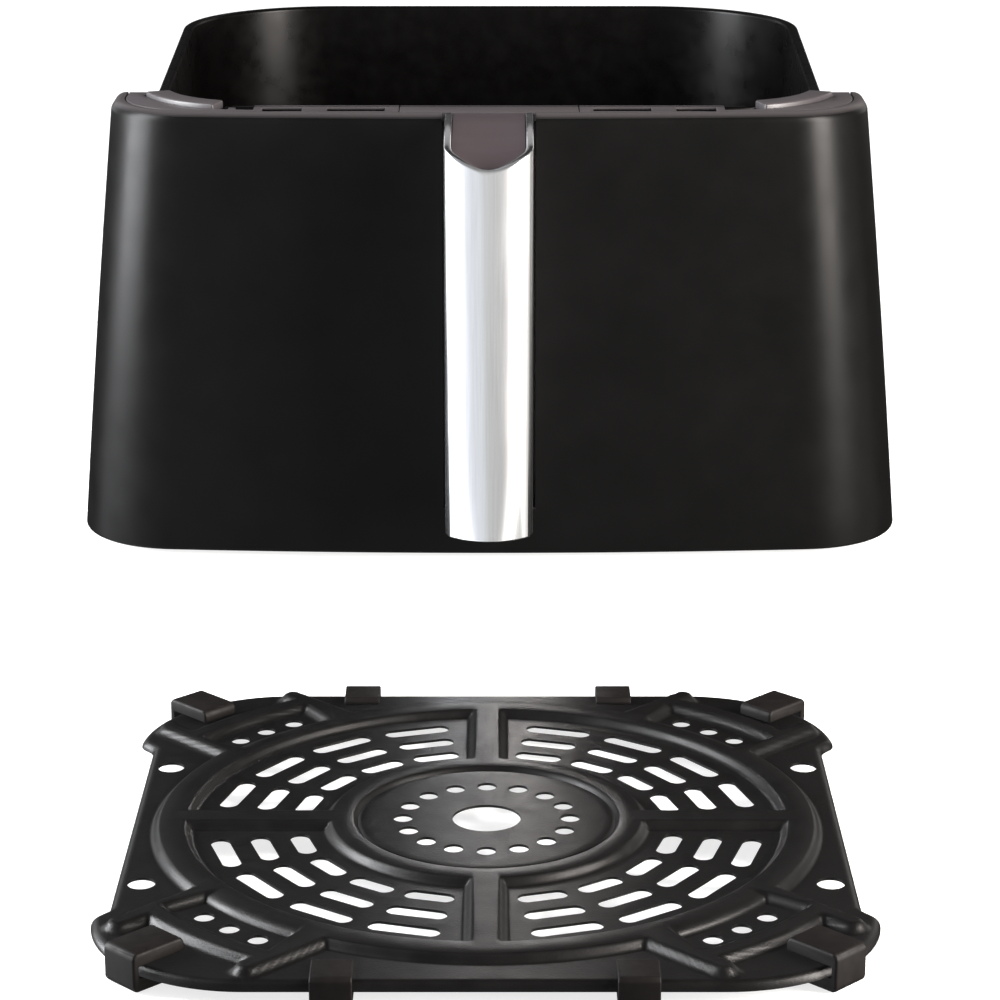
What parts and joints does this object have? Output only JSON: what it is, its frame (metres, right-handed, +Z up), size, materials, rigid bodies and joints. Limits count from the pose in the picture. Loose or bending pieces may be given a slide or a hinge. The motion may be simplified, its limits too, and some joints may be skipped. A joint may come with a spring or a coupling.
{
  "type": "air fryer drawer with crisper plate",
  "caption": "Air fryer pull-out drawer: non-stick basket behind a tapered front panel with a steel-sleeved handle, and a loose perforated crisper plate on silicone bumpers.",
  "frame": {"origin": "centre of the basket's underside, on the counter it stands on", "axes": "+Z up; +Y from the handle towards the back of the basket; +X to the right of someone facing the handle"},
  "size_m": [0.316, 0.6588, 0.1723],
  "materials": {
    "satin_black_panel": "satin black moulded plastic",
    "basket_nonstick": "dark non-stick coating",
    "plate_nonstick": "grainy dark non-stick coating",
    "grey_trim": "matte dark warm grey plastic",
    "handle_steel": "satin stainless steel",
    "black_insert": "matte black plastic",
    "zinced_steel": "bright zinc plate",
    "black_silicone": "matte black silicone"
  },
  "bodies": {
    "drawer": {"basket_pan": "basket_nonstick", "front_panel": "satin_black_panel", "panel_inner_cover": "grey_trim", "top_trim_left": "grey_trim", "top_trim_right": "grey_trim", "top_trim_centre": "grey_trim", "corner_tab_left": "grey_trim", "corner_tab_right": "grey_trim", "handle_sleeve": "handle_steel", "handle_insert": "black_insert", "handle_bottom_cap": "black_insert", "basket_bracket": "zinced_steel", "handle_screw_1": "zinced_steel", "handle_screw_2": "zinced_steel", "handle_screw_3": "zinced_steel", "cover_screw_1": "zinced_steel", "cover_screw_2": "zinced_steel", "cover_screw_3": "zinced_steel", "cover_screw_4": "zinced_steel", "bracket_screw_1": "zinced_steel", "bracket_screw_2": "zinced_steel", "bracket_screw_3": "zinced_steel", "bracket_screw_4": "zinced_steel"},
    "plate": {"crisper_plate": "plate_nonstick", "edge_bumper_rear_left": "black_silicone", "edge_bumper_rear_right": "black_silicone", "edge_bumper_front_left": "black_silicone", "edge_bumper_front_right": "black_silicone", "corner_bumper_rear_left": "black_silicone", "corner_bumper_rear_right": "black_silicone", "corner_bumper_front_left": "black_silicone", "corner_bumper_front_right": "black_silicone"}
  },
  "joints": [
    {"name": "plate_lift", "type": "slide", "parent": "drawer", "child": "plate", "axis": [0, 0, 1], "range_m": [0, 0.2]}
  ]
}
